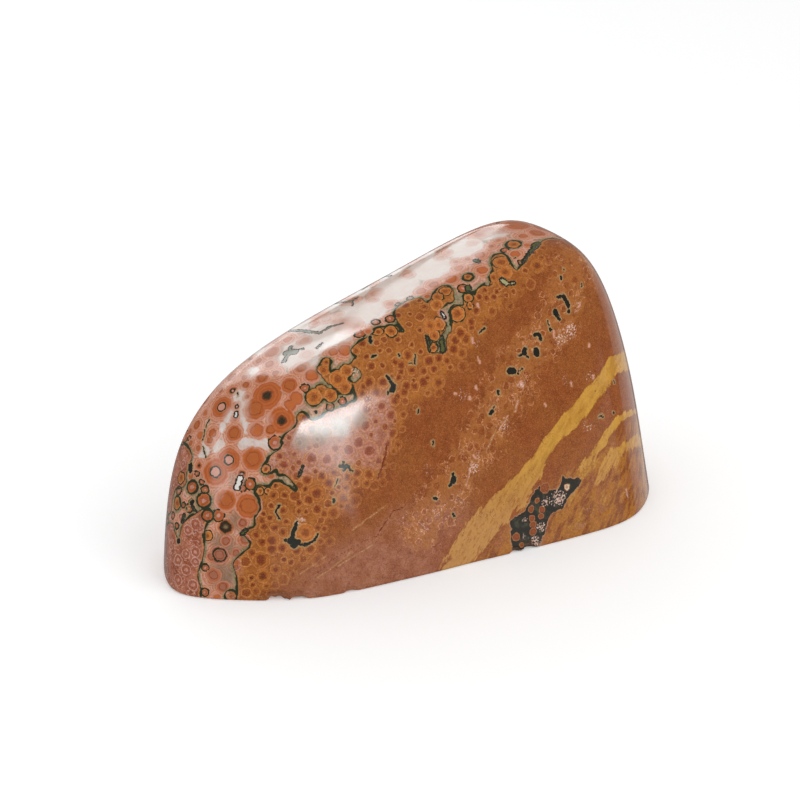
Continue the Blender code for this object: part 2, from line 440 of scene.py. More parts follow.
# Soft patches: place, reach in pixels, strength. Druse is fine white crystal, milk is white chalcedony
# between the orbs, and painted sheen along the top band; grey is where that chalcedony is dull, and partly
# painted shade low on the nose.
softMarks = {
    "druseShare": [
        (571, 330, 10, 0.9), (560, 339, 9, 0.7), (578, 306, 6, 0.6), (474, 468, 8, 0.8), (477, 455, 6, 0.5),
        (503, 425, 9, 0.6), (422, 528, 9, 0.5), (442, 512, 12, 0.4), (458, 500, 10, 0.4),
        (559, 498, 9, 1.1), (546, 502, 6, 0.9), (541, 527, 6, 1.0), (536, 541, 7, 0.9), (525, 520, 4, 0.8),
        (524, 536, 4, 0.8), (589, 377, 7, 0.6), (566, 380, 7, 0.5), (478, 342, 6, 0.5), (463, 395, 8, 0.5),
        (588, 425, 8, 0.6), (370, 402, 9, 0.7), (405, 520, 9, 0.3), (300, 520, 6, 0.6), (522, 385, 6, 0.8),
        (243, 480, 3, 0.5), (355, 372, 5, 0.9), (430, 470, 9, 0.25), (588, 510, 10, 0.3),
        (626, 492, 6, 0.6),
    ],
    "milkAndSheenShare": [
        (239, 396, 9, 1.0), (247, 428, 8, 0.8), (266, 444, 7, 1.0), (244, 444, 7, 1.2), (243, 405, 8, 0.9),
        (268, 420, 6, 0.6), (252, 372, 9, 0.6), (230, 415, 9, 1.0), (243, 416, 8, 0.9),
        (254, 443.6, 9, 1.1), (203, 450, 9, 1.0), (219, 447, 8, 0.8), (222, 428, 6, 0.7),
        (292, 352, 12, 0.8), (316, 338, 10, 0.8), (350, 306, 12, 0.8), (326, 318, 9, 0.7),
        (385, 284, 10, 0.7), (262, 350, 10, 0.6), (310, 362, 12, 0.6), (430, 262, 12, 0.5),
        # The wide marks from here on lie along the top highlight band: painted sheen, a pale wash of the
        # reflection
        (300, 352, 24, 0.9), (330, 334, 26, 1.0), (362, 312, 26, 1.0), (396, 288, 26, 1.0),
        (430, 268, 24, 1.0), (465, 248, 20, 0.9), (495, 234, 14, 0.8), (302, 326, 13, 0.9),
        (330, 308, 13, 0.9), (360, 292, 13, 0.9), (392, 274, 12, 0.9), (425, 256, 12, 0.8),
        (458, 240, 11, 0.8),
    ],
    "greyShare": [
        # The first marks, low on the nose, are partly painted shade there
        (236, 480, 9, 0.6), (222, 500, 12, 0.8), (238, 520, 12, 0.9), (224, 545, 14, 1.0),
        (222, 575, 16, 1.0), (205, 480, 10, 0.5), (240, 552, 9, 0.8), (300, 410, 10, 0.7),
        (282, 388, 8, 0.6), (314, 385, 10, 0.9), (350, 352, 7, 0.7), (508, 262, 5, 0.6),
        (285, 352, 14, 0.9), (315, 332, 15, 0.9), (345, 310, 15, 0.9), (375, 292, 15, 0.9),
        (405, 277, 14, 0.9), (435, 262, 13, 0.9), (462, 248, 12, 0.9), (488, 236, 11, 0.9),
        (302, 441, 10, 0.9), (320, 434, 12, 1.0), (340, 427, 12, 1.0), (360, 418, 10, 0.8),
        (449, 314, 7, 1.2), (449, 328, 7, 1.2), (431, 348, 6, 1.2), (457, 297, 6, 1.0),
    ],
}

def laySoftMarks(piece):
    points = verticesOf(piece)
    for name, marks in softMarks.items():
        share = np.zeros(len(points))
        for x, y, reach, strength in marks:
            gap = distances(points, placeOf(x, y)) / (reach * pixelSize)
            share = np.maximum(share, strength * (1 - softStep(gap, *softEdges["marks"])))
        keep(piece, name, share)

laySoftMarks(stone)
print("soft marks laid")

# The orbs. Each kind has its colours, and its core, ring and edge lines. Shares are of the radius,
# widths are in millimetres.
paints = colours({
    "orange": (190, 108, 66), "amber": (180, 102, 60), "salmon": (196, 120, 88), "rose": (176, 108, 86),
    "pale": (210, 156, 134), "redRim": (222, 176, 162), "ochre": (184, 116, 60), "redBrown": (118, 48, 22),
    "blackGreen": (34, 34, 18), "greyGreen": (122, 112, 80), "rust": (140, 74, 36),
    "cream": (226, 206, 178), "tan": (180, 134, 88), "brownRed": (146, 80, 46), "green": (84, 88, 46),
    "quartz": (226, 222, 214), "rosePale": (208, 150, 132), "sliverGrey": (132, 130, 114),
    "paleGreen": (166, 160, 118), "dullRose": (182, 112, 82), "greyRose": (164, 106, 84),
    "lightOchre": (212, 148, 92), "deepOrange": (198, 126, 68), "deepRed": (94, 34, 14),
    "poreBlack": (24, 22, 12), "poreHalo": (176, 150, 106), "white": (224, 208, 200),
})
noLine = -9.0                # a line this far off is never seen
orbKinds = {
    "banded": {"body": "orange", "core": "amber", "coreShare": 0.5, "soft": 0.5, "rim": "pale",
               "rimWidth": 0.7},
    "salmon": {"body": "salmon", "core": "orange", "coreShare": 0.6, "soft": 0.5, "rim": "pale",
               "rimWidth": 0.7},
    "ringed": {"body": "orange", "core": "rosePale", "coreShare": 0.36, "soft": 0.2, "rim": "pale",
               "rimWidth": 0.6, "ring": 0.36},
    "greenCore": {"body": "orange", "core": "blackGreen", "coreShare": 0.3, "soft": 0.5, "rim": "pale",
                  "rimWidth": 0.6},
    "greenSpot": {"body": "blackGreen", "core": "greyGreen", "coreShare": 0.3, "soft": 0.7, "rim": "orange",
                  "rimWidth": 0.4},
    "darkRing": {"body": "greyRose", "core": "greyRose", "coreShare": 0.4, "soft": 0.4, "rim": "rosePale",
                 "rimWidth": 0.4, "ring": 0.68},
    "outlined": {"body": "orange", "core": "rosePale", "coreShare": 0.36, "soft": 0.4, "rim": "pale",
                 "rimWidth": 0.3, "edge": 0.2},
    "dull": {"body": "dullRose", "core": "greyRose", "coreShare": 0.5, "soft": 0.6, "rim": "rosePale",
             "rimWidth": 0.4},
    "rose": {"body": "rose", "core": "rosePale", "coreShare": 0.4, "soft": 0.5, "rim": "redRim",
             "rimWidth": 0.4},
    "dotted": {"body": "ochre", "core": "redBrown", "coreShare": 0.44, "soft": 0.5, "rim": "lightOchre",
               "rimWidth": 0.28},
    "darkDotted": {"body": "ochre", "core": "deepRed", "coreShare": 0.4, "soft": 0.45, "rim": "lightOchre",
                   "rimWidth": 0.28},
    "softDotted": {"body": "deepOrange", "core": "rust", "coreShare": 0.6, "soft": 0.45,
                   "rim": "lightOchre", "rimWidth": 0.3},
    "plain": {"body": "deepOrange", "core": "rust", "coreShare": 0.3, "soft": 0.6, "rim": "lightOchre",
              "rimWidth": 0.35},
    "outlinedOchre": {"body": "deepOrange", "core": "rust", "coreShare": 0.3, "soft": 0.6,
                      "rim": "lightOchre", "rimWidth": 0.5, "edge": 0.12},
    "rusty": {"body": "brownRed", "core": "rust", "coreShare": 0.6, "soft": 0.5, "rim": "tan",
              "rimWidth": 0.2},
    "creamy": {"body": "cream", "core": "pale", "coreShare": 0.4, "soft": 0.3, "rim": "tan",
               "rimWidth": 0.2},
}
orbMarks = {
    "ringed": [(221.6, 407, 13), (228.8, 460, 13), (215.5, 472, 15)],
    "greenCore": [(266.7, 395.4, 17), (281.9, 420.4, 15)],
    "greenSpot": [(225.5, 527, 7.2)],
    "darkRing": [(219.5, 555, 9.5)],
    "banded": [
        (255.5, 408, 13.5), (234.1, 432.9, 9.5), (270.7, 429.3, 7.5), (253, 459, 12.5), (289, 385, 10),
        (248.4, 506, 14), (226, 500, 12), (212.7, 433, 7), (210, 440, 6), (301, 368, 8), (262, 378, 9),
        (246, 385, 6), (271.5, 352, 10), (232, 377, 8), (206, 400, 8), (197, 425, 7),
    ],
    "outlinedOchre": [
        (445.5, 291, 6.5), (437.5, 297, 6), (457, 313.5, 8.5), (439, 324.5, 7), (434, 335.5, 6.3),
        (433.5, 347.5, 5), (468.5, 298, 5), (470, 305.5, 4), (378, 331.5, 5.5), (391, 331, 6.5),
        (501, 262, 9), (513.4, 244.2, 8), (468.2, 277, 5.6), (207.5, 535.5, 5), (177, 503, 6.6),
        (181, 478, 6), (266, 469, 4.4), (260, 491, 4), (268, 491, 3.6),
    ],
    "dull": [
        (243, 523, 6), (245, 540, 6), (214, 575, 8), (223, 587, 7), (236, 567, 4), (211, 557, 5),
        (226, 541, 6), (236, 553, 5),
    ],
    "salmon": [
        (304.6, 341, 7.5), (314.6, 323.3, 6), (287.6, 339.5, 7), (339.5, 314.6, 5), (334, 321, 4),
        (408, 275, 8), (376.5, 293, 9), (372, 300, 6), (440, 258, 6), (471, 244, 6), (501, 231, 6),
        (256.4, 430.2, 9), (451, 279, 9), (482, 270, 8), (480, 255, 8), (523, 236, 7), (344, 350, 9),
        (333, 352, 7), (312, 375, 9), (296, 398, 9), (290, 405, 8), (515, 254, 7.5), (527, 245, 5),
        (459, 268, 7), (237, 563, 5),
    ],
    "outlined": [(192.3, 487.1, 6.4), (203.8, 500.3, 7.2), (207.8, 515.4, 5.8)],
    "rose": [
        (183, 464, 5), (195.5, 524, 6), (188, 530, 5.5), (181.5, 517, 5), (200, 529, 4), (195.5, 552, 5.5),
        (195.4, 562, 5), (186, 554, 5), (193, 585, 6), (186, 570, 6), (178, 560, 6), (178, 580, 6),
        (171, 545, 5), (172, 525, 5),
    ],
    "dotted": [
        (347, 477, 5.2), (334, 473, 5.5), (322, 476, 5.5), (329, 483, 7), (356, 483, 5), (346, 488, 5),
        (317, 493, 9), (308.5, 500, 6), (317, 509, 5.5), (285, 495, 4.5), (299, 503, 4.5), (299, 511, 4.5),
        (283, 510, 5), (262, 521, 4.5), (270, 518, 4.5), (264, 526.5, 5), (274.5, 528, 5), (283, 532, 5.5),
        (286.5, 522, 4.5), (256, 535, 5), (262, 542, 5.5), (272, 540.5, 8), (272, 549, 7), (282, 548, 6),
        (297, 551, 5.5), (310, 549, 6), (252, 552.5, 5), (261, 560, 9), (327, 459.5, 8), (312, 458, 8),
        (349, 449.5, 9), (358, 442.5, 9), (369, 451, 11), (429, 361, 6.5), (412, 370, 6), (399, 377.5, 4.5),
        (383, 382.5, 6.8), (369, 382, 7), (362.5, 393, 6), (364, 387, 5), (376, 392, 6.4), (368, 399, 6),
        (380, 350.5, 3.4), (420.5, 352, 3.6), (410, 314, 3.4), (438.8, 358.2, 5.4), (423.4, 371, 5.2),
        (401, 372, 4.6), (395.7, 361.5, 5.6), (401, 365, 5.6), (407.7, 354.9, 6.4), (471, 322, 5.4),
        (472, 328, 4.6), (460.3, 333, 7), (455.4, 340.4, 7), (466, 338.7, 7), (453.7, 349, 7),
        (462, 353.2, 6), (499.3, 288.4, 3.6), (496.8, 291.7, 4), (513.4, 291.7, 3.6), (506.3, 295, 3.4),
        (484.8, 290, 4.4), (486.8, 298, 5), (479.4, 297, 4.4), (493.5, 297, 4.4), (525, 270.6, 4),
        (492.2, 311.2, 5.4), (413.5, 380.8, 3.6), (427.6, 377.9, 4.2), (406.4, 385.8, 6.2), (415, 386, 6.2),
        (423.4, 382.4, 8), (397.7, 396.5, 5.4), (395.2, 401, 6), (404, 392.4, 6), (390.7, 415, 7),
        (394.8, 421, 3.4), (392.3, 433.4, 6), (387.4, 443.8, 5.4), (392.8, 465.8, 4.2), (369, 474.5, 6),
        (362.3, 343.4, 5),
    ],
    "plain": [
        (305.5, 532.8, 10), (437, 305, 7), (505, 272, 8), (493.5, 277.5, 5), (430, 326, 8), (326, 362, 5),
        (324, 370, 6), (338, 379, 9), (347, 371, 7), (345, 388, 7), (314, 397, 8), (331, 395, 7),
        (356, 351, 5),
    ],
    "rusty": [
        (545, 488, 5.5), (537.2, 500.7, 3), (531, 509, 3.6), (542, 509.6, 3.7), (541, 516, 3.3),
        (532, 518.3, 3.7), (533.1, 524.6, 4), (532.8, 531.6, 4.3), (516.1, 537, 4.3), (521.8, 545.2, 2.7),
    ],
    "creamy": [(567, 486.9, 3.7)],
}

orbFill = {                  # what grows between those, and on the far side; sizes in millimetres
    "tries": 12000,
    "seed": 5,
    "outside": {"sizes": (1.3, 4.8), "overlap": 0.7, "inset": 0.5,
                "kinds": ("banded", "banded", "salmon", "banded", "ringed", "banded", "greenCore", "salmon")},
    "belt": {"sizes": (1.05, 2.2), "overlap": 0.5, "inset": 0.7,
             "kinds": ("dotted", "dotted", "darkDotted", "softDotted")},
    "edgeReach": 2.2,        # this close to the mass, half of the orbs are small and outlined
    "edgeSize": 0.6,
    "underside": -0.5,       # none where the surface faces down more than this
    "offHollow": 0.5,
    # the grey and white marks that keep orbs out include painted shade low on the nose and painted sheen on
    # the top band
    "paleShare": 1.1,        # how surely the grey and the white chalcedony keep them out
}
orbFade = {"inside": 0.3, "least": 0.25}     # millimetres within the mass, share that still shows

def growOrbs(piece):
    orbs = [(placeOf(x, y), radius * pixelSize * 1000, kind)
            for kind, marks in orbMarks.items() for x, y, radius in marks]
    points, normals = verticesOf(piece), normalsOf(piece)
    depth, ochre, hollow, grey, milk = (fieldOf(piece, name) for name in (
        "massDepth", "ochreShare", "hollowDepth", "greyShare", "milkAndSheenShare"))
    draw = random.Random(orbFill["seed"])
    places, radii = [orb[0] for orb in orbs], [orb[1] for orb in orbs]
    for _ in range(orbFill["tries"]):
        index = draw.randrange(len(points))
        inMass = depth[index] > 0
        group = orbFill["belt" if inMass else "outside"]
        low, high = group["sizes"]
        radius = low + (high - low) * draw.random() ** 2
        kind = draw.choice(group["kinds"])
        if normals[index][2] < orbFill["underside"] or hollow[index] > -orbFill["offHollow"]:
            continue
        if inMass and draw.random() > ochre[index]:
            continue
        if not inMass and draw.random() < max(grey[index], milk[index]) * orbFill["paleShare"]:
            continue
        if not inMass and depth[index] > -orbFill["edgeReach"] and draw.random() < 0.5:
            radius, kind = radius * orbFill["edgeSize"], "outlined"
        if abs(depth[index]) < radius * group["inset"]:
            continue
        gaps = distances(np.array(places), points[index]) * 1000 - np.array(radii)
        if gaps.min() > radius * group["overlap"]:
            orbs.append((points[index], radius, kind))
            places.append(points[index])
            radii.append(radius)
    return orbs

def nearestMarks(piece, reach):          # for each face, which mark reaches it best
    middles = numbersFrom(piece.data.polygons, "center")
    best, chosen = np.full(len(middles), 1e9), np.zeros(len(middles), int)
    for index, gap in enumerate(reach(middles)):
        closer = gap < best
        best[closer], chosen[closer] = gap[closer], index
    return chosen

def keepTable(piece, table, chosen):
    for name, rows in table.items():
        keep(piece, name, np.array(rows)[chosen], "FACE")

def showsOf(piece, orbs):                # dotted orbs fade out where the ochre ground ends
    points = verticesOf(piece)
    tree = KDTree(len(points))
    for index, point in enumerate(points):
        tree.insert(point, index)
    tree.balance()
    depth, ochre = fieldOf(piece, "massDepth"), fieldOf(piece, "ochreShare")
    least, shows = orbFade["least"], []
    for place, radius, kind in orbs:
        nearest = tree.find(place)[1]
        fades = kind.lower().endswith("dotted") and depth[nearest] >= orbFade["inside"]
        shows.append(least + (1 - least) * ochre[nearest] if fades else 1.0)
    return shows

def layOrbs(piece):
    orbs = growOrbs(piece)
    chosen = nearestMarks(piece, lambda middles: (
        distances(middles, place) * 1000 - radius for place, radius, kind in orbs))
    rows = [(radius, orbKinds[kind]) for place, radius, kind in orbs]
    keepTable(piece, {
        "orbPlace": [place * 1000 for place, radius, kind in orbs],
        "orbForm": [(radius, radius * kind["coreShare"], radius * kind["ring"] if "ring" in kind else noLine)
                    for radius, kind in rows],
        "orbFinish": [(kind.get("edge", noLine), kind["rimWidth"], kind["soft"]) for radius, kind in rows],
        "orbBody": [paints[kind["body"]] for radius, kind in rows],
        "orbCore": [paints[kind["core"]] for radius, kind in rows],
        "orbRim": [paints[kind["rim"]] for radius, kind in rows],
        "orbShow": showsOf(piece, orbs),
    }, chosen)
    return len(orbs)

print("orbs laid:", layOrbs(stone))

# Slits, open pores and crystal-lined gaps. Each is a line from pixel to pixel, with the half width of
# each stretch between its two ends.
slitKinds = {                # edge and halo in millimetres
    "pore": {"tone": "poreBlack", "edge": noLine, "halo": 0.6, "haloTone": "poreHalo"},
    "crack": {"tone": "redBrown", "edge": noLine, "halo": 0.1, "haloTone": "rust"},
    "green": {"tone": "green", "edge": 0.22, "halo": 0.5, "haloTone": "greyGreen"},
    "sliver": {"tone": "sliverGrey", "edge": 0.1, "halo": 0.5, "haloTone": "rosePale"},
    "paleGreen": {"tone": "paleGreen", "edge": 0.2, "halo": 0.5, "haloTone": "greyGreen"},
    "quartz": {"tone": "quartz", "edge": 0.2, "halo": 1.1, "haloTone": "rosePale"},
    "white": {"tone": "rosePale", "edge": noLine, "halo": 0.35, "haloTone": "tan"},
}
slitMarks = {
    "pore": [
        (386.5, 375.8, 1.5, 390.7, 380.8, 2, 393.2, 385.8, 2.9, 392.3, 390),
        (388.2, 392.3, 1.2, 388.2, 393.8),
        (558.6, 297.2, 2, 563.2, 296.4, 2.5, 566.5, 301.4, 2.5, 568.3, 306.3, 1.6, 568.6, 312),
        (554.9, 311.3, 2.7, 556.5, 314.6, 2, 559, 318.8), (547.8, 320.4, 0.8, 549, 326.2, 1.2, 551, 330.4),
        (535, 334.5, 2.1, 538.3, 334.5, 2.1, 540.8, 338.7), (536.2, 351, 3.3, 536.8, 353.5),
        (524.8, 349.5, 2.7, 524.5, 353.5, 1.2, 518.7, 355.7), (525, 354, 0.8, 528.7, 358.2),
        (510, 371, 3.5, 513.5, 371.5), (513.5, 372, 1.4, 518, 373, 1, 522, 368.5),
        (498.2, 391.5, 1.7, 498.6, 393.8), (494.3, 407, 1, 492.5, 410.5, 1.7, 490, 413.7),
        (452.9, 473.6, 1.4, 453.5, 478, 3, 453.3, 481, 1.4, 450, 485.3), (563.6, 269, 0.9, 563.8, 269.5),
        (560.6, 276.5, 1.4, 561, 279), (581.6, 283.5, 1, 582, 286), (480, 332.5, 1.1, 484.5, 328),
        (414.8, 355, 1.1, 415, 363.5), (409, 363.5, 0.7, 415, 363.5), (372.4, 357, 1.1, 376, 355.2),
        (398.3, 354.5, 1, 399, 356), (370.3, 337, 1.6, 370.7, 342.5),
        (279, 505, 1.3, 276, 512, 1, 279, 519), (341, 466, 2.3, 348, 467), (343.5, 463, 1.6, 344, 470),
        (348, 468, 0.9, 353, 471.5), (338, 479, 0.6, 335, 487), (334, 499, 1.6, 334, 502),
        (297, 522, 1.6, 295, 528, 2.2, 292, 538), (285, 540, 1.6, 290, 541.5), (290, 541, 3.2, 298, 542.5),
        (292, 545, 2.4, 295, 546), (296, 544, 1.4, 304, 545, 1.5, 314, 541, 1.4, 317.5, 535),
        (433, 441.5, 0.9, 433.4, 445), (418.6, 409.5, 1.1, 417.6, 413), (434, 498.5, 1.5, 436, 499),
        (453, 514, 1.6, 454, 516), (190.4, 466, 3, 190.4, 470), (192.1, 502, 2.6, 192.1, 504),
        (178.5, 540.5, 2.4, 178.5, 541.5), (514.8, 257.9, 1, 515.6, 257.9), (602, 415, 1.1, 603, 417),
        (613, 412, 1.2, 614, 413), (614, 381, 1, 614.3, 383), (599, 416.5, 0.8, 602, 415),
        (208.7, 419.5, 1, 206.4, 425.7, 0.8, 203, 440), (238, 392.5, 0.7, 237.6, 396.5),
        (203, 447, 0.8, 206, 457), (186.8, 508, 1, 186.8, 509.4), (316, 411, 1.3, 316.2, 412.4),
    ],
    "crack": [
        (387, 446, 0.8, 385.5, 456, 1, 382, 467, 0.9, 378, 478),
        (304, 583, 0.1, 317, 573, 0.1, 336, 557, 0.2, 364, 541, 0.2, 377, 536, 0.3, 393, 511),
        (393, 511, 0.5, 404, 507),
    ],
    "green": [
        (468.2, 287.6, 3.2, 468.2, 288.6), (476, 260.5, 2.6, 478, 261.5), (533.7, 245.5, 2.8, 537.5, 243),
        (537, 244, 2.0, 530, 252, 1.3, 523, 262), (427.5, 338, 1.4, 429.5, 350),
        (442, 337, 1.6, 441.5, 342, 2.6, 443, 350), (242, 534, 1.6, 246, 530), (184, 515, 1.4, 182, 522),
        (192, 506, 1.2, 196, 511),
    ],
    "paleGreen": [(502, 280, 2.4, 507, 284, 1.6, 514, 283), (303, 467, 1.0, 299, 476)],
    "sliver": [
        (287, 353, 4.0, 295, 351.5), (295, 351, 1.4, 303, 349), (288, 355, 2.2, 284, 361),
        (290, 350, 2.0, 291, 347), (336, 303.5, 1.4, 351, 301.5), (379, 277.5, 1.8, 390, 276),
        (351, 301.3, 1.0, 357.5, 297.4), (352.7, 301, 0.9, 352.7, 305.5), (290, 331, 1.7, 309, 331.5),
        (309, 332, 1.7, 321, 332.5), (321, 332, 1.2, 331, 326.5, 0.9, 343.5, 323),
        (317, 348, 1.0, 322, 343), (362, 290, 0.9, 368, 286),
    ],
    "quartz": [
        (240.3, 478, 2.6, 238.5, 482.5, 2.8, 236.5, 487.5), (441.5, 312.8, 1.4, 445, 318),
        (236.3, 413, 2, 235.8, 416),
    ],
    "white": [
        (580, 303, 0.8, 578, 308), (575.5, 312, 0.7, 577, 311), (589.3, 344, 1.3, 589.3, 346.5),
        (553.6, 331, 1.1, 554, 337), (521, 382, 1.8, 522, 386), (472.3, 338, 1.0, 472.5, 343),
        (477.5, 303.5, 1.3, 478.5, 307), (454.5, 393.5, 1.0, 456, 394.2), (475.6, 386.5, 1.0, 477, 389),
        (469.8, 397.5, 1.3, 470, 399), (299, 520, 0.8, 305, 520), (593.3, 376, 1.0, 593.6, 378),
        (571.5, 383, 0.8, 572.2, 386), (545, 404, 0.8, 545.8, 406),
        (508, 416, 0.6, 503, 424, 0.6, 499, 430), (518, 400, 0.6, 515, 412), (474, 455, 0.8, 476, 458),
        (566, 340, 0.6, 558.5, 338.5), (478, 357, 0.7, 480, 363), (626, 489, 0.6, 628, 497),
        (300, 574, 0.1, 326, 556), (318, 578, 0.1, 352, 552), (338, 566, 0.1, 372, 545),
        (352, 530, 0.1, 386, 505), (466, 486, 0.4, 472, 462), (486, 452, 0.3, 496, 430),
    ],
}
farSlits = {                 # millimetres
    "count": 40,
    "seed": 23,
    "halfWidth": (0.2, 0.7),
    "length": (0.4, 2.6),
    "kinds": ("pore", "white"),
    "seen": 0.02,            # only where the photograph shows less than this
    "above": 3.0,
}

def laySlits(piece, seen):
    slits = []
    for kind, lines in slitMarks.items():
        for line in lines:
            for at in range(0, len(line) - 2, 3):
                ax, ay, halfWidth, bx, by = line[at:at + 5]
                slits.append((placeOf(ax, ay), placeOf(bx, by), halfWidth * pixelSize * 1000, kind))
    points, normals = verticesOf(piece), normalsOf(piece)
    draw = random.Random(farSlits["seed"])
    hidden = [index for index in range(len(points))
              if seen[index] < farSlits["seen"] and points[index][2] > farSlits["above"] / 1000]
    for _ in range(farSlits["count"]):
        index = draw.choice(hidden)
        side = Vector(normals[index]).cross(Vector([draw.uniform(-1, 1) for _ in range(3)])).normalized()
        end = points[index] + np.array(side) * draw.uniform(*farSlits["length"]) / 1000
        halfWidth = draw.uniform(*farSlits["halfWidth"])
        slits.append((points[index], end, halfWidth, draw.choice(farSlits["kinds"])))
    chosen = nearestMarks(piece, lambda middles: (
        gapToStretch(middles, start, end) * 1000 - width for start, end, width, kind in slits))
    rows = [(width, slitKinds[kind]) for start, end, width, kind in slits]
    keepTable(piece, {
        "slitStart": [start * 1000 for start, end, width, kind in slits],
        "slitSpan": [(end - start) * 1000 + 0.001 for start, end, width, kind in slits],
        "slitForm": [(width, kind["edge"], kind["halo"]) for width, kind in rows],
        "slitTone": [paints[kind["tone"]] for width, kind in rows],
        "slitHalo": [paints[kind["haloTone"]] for width, kind in rows],
    }, chosen)
    return len(slits)

print("slits laid:", laySlits(stone, seen))

# Shader maths, written as Python
class Wire:
    def __init__(self, tree, socket):
        self.tree, self.socket = tree, socket

    def calculate(self, operation, *others):
        node = self.tree.nodes.new("ShaderNodeMath")
        node.operation = operation
        for slot, value in zip(node.inputs, (self, *others)):
            join(self.tree, value, slot)
        return Wire(self.tree, node.outputs[0])

    def __add__(self, other):
        return self.calculate("ADD", other)

    def __sub__(self, other):
        return self.calculate("SUBTRACT", other)

    def __rsub__(self, other):
        return (self * -1).calculate("ADD", other)

    def __mul__(self, other):
        return self.calculate("MULTIPLY", other)

    def __truediv__(self, other):
        return self.calculate("DIVIDE", other)

    __radd__, __rmul__ = __add__, __mul__

    def size(self):
        return self.calculate("ABSOLUTE")

    def atMost(self, other):
        return self.calculate("MINIMUM", other)

    def atLeast(self, other):
        return self.calculate("MAXIMUM", other)

def join(tree, value, slot):
    if isinstance(value, Wire):
        tree.links.new(value.socket, slot)
    elif isinstance(value, (tuple, list)) and slot.type == "RGBA":
        slot.default_value = (*value[:3], 1.0)
    else:
        slot.default_value = value

class Finish:
    def __init__(self, name):
        self.material = bpy.data.materials.new(name)
        self.material.use_nodes = True
        self.tree = self.material.node_tree
        self.shader = self.tree.nodes["Principled BSDF"]

    def node(self, kind, settings=None, output=0, **sockets):
        made = self.tree.nodes.new("ShaderNode" + kind)
        for name, value in (settings or {}).items():
            setattr(made, name, value)
        for name, value in sockets.items():
            slot = made.inputs[int(name[1:])] if name[0] == "_" else made.inputs[name]
            join(self.tree, value, slot)
        return Wire(self.tree, made.outputs[output])

    def read(self, name, output="Fac"):          # an attribute
        return self.node("Attribute", {"attribute_name": name}, output=output)

    def vectorMath(self, operation, first, second, output="Vector"):
        return self.node("VectorMath", {"operation": operation}, output=output, _0=first, _1=second)

    def part(self, vector, axis):
        return self.node("SeparateXYZ", output=axis, _0=vector)

    def scaled(self, vector, factor):
        return self.node("VectorMath", {"operation": "SCALE"}, _0=vector, Scale=factor)

    def grain(self, place, look, output=0):
        scale, detail, roughness = look
        return self.node("TexNoise", output=output, Vector=place, Scale=scale, Detail=detail,
                         Roughness=roughness)

    def step(self, value, low, high):            # 0 below low, 1 above high, smooth between
        return self.node("MapRange", {"interpolation_type": "SMOOTHSTEP"}, _0=value, _1=low, _2=high)

    def line(self, value, low, high):            # 1 where the value is within low of 0, 0 past high
        return 1 - self.step(value.size(), low, high)

    def mix(self, share, first, second, blend="MIX"):
        settings = {"data_type": "RGBA", "blend_type": blend}
        return self.node("Mix", settings, output=2, _0=share, _6=first, _7=second)

    def between(self, value, low, high, tones):  # the first tone below low, the second above high
        return self.mix(self.step(value, low, high), *tones)

    def feed(self, name, wire):
        self.tree.links.new(wire.socket, self.shader.inputs[name])

stoneFinish = {              # widths in millimetres
    "edgeLine": 0.21,
    "edgeWander": 0.28,
    "bend": 1.15,            # how far the markings bend
    "layers": ((1.2, 1.8), (0.75, 1.15), (0.35, 0.7), (0.0, 0.35)),      # round an orb: full, gone
    "polish": 0.08,          # roughness
    "sawn": 0.55,
    "saturation": 1.05,
    "value": 0.94,
    "streakTilt": -50.0,     # degrees
    "streakStretch": (6.5, 3.0, 1.7),
    "bump": 0.6,
    "refraction": 1.54,
}
stoneGrains = {              # noise in the stone: features in a millimetre, detail, roughness
    "wander": (0.8, 3.0, 0.6), "broad": (0.085, 3.0, 0.5), "medium": (0.32, 4.0, 0.6),
    "fine": (1.7, 4.0, 0.65), "tiny": (4.5, 3.0, 0.6), "frost": (0.5, 2.0, 0.5),
    "squiggle": (0.75, 2.0, 0.5), "squigglePatch": (0.3, 1.0, 0.5), "lacePatch": (0.5, 3.0, 0.5),
    "strand": (0.55, 3.0, 0.6), "strandPatch": (0.2, 2.0, 0.5), "streaks": (1.0, 5.0, 0.6),
    "mixedBrown": (0.6, 3.0, 0.5), "mixedYellow": (0.3, 3.0, 0.6), "yellowFleck": (2.6, 3.0, 0.5),
    "edge": (0.8, 3.0, 0.5), "edgePatch": (0.3, 1.0, 0.5), "hollow": (0.7, 2.0, 0.5),
    "craze": (1.15, 2.0, 0.5), "speck": (1.1, 2.0, 0.5), "hair": (0.42, 3.0, 0.6),
    "hairPatch": (0.23, 1.0, 0.5), "druse": (2.1, 3.0, 0.6),
}
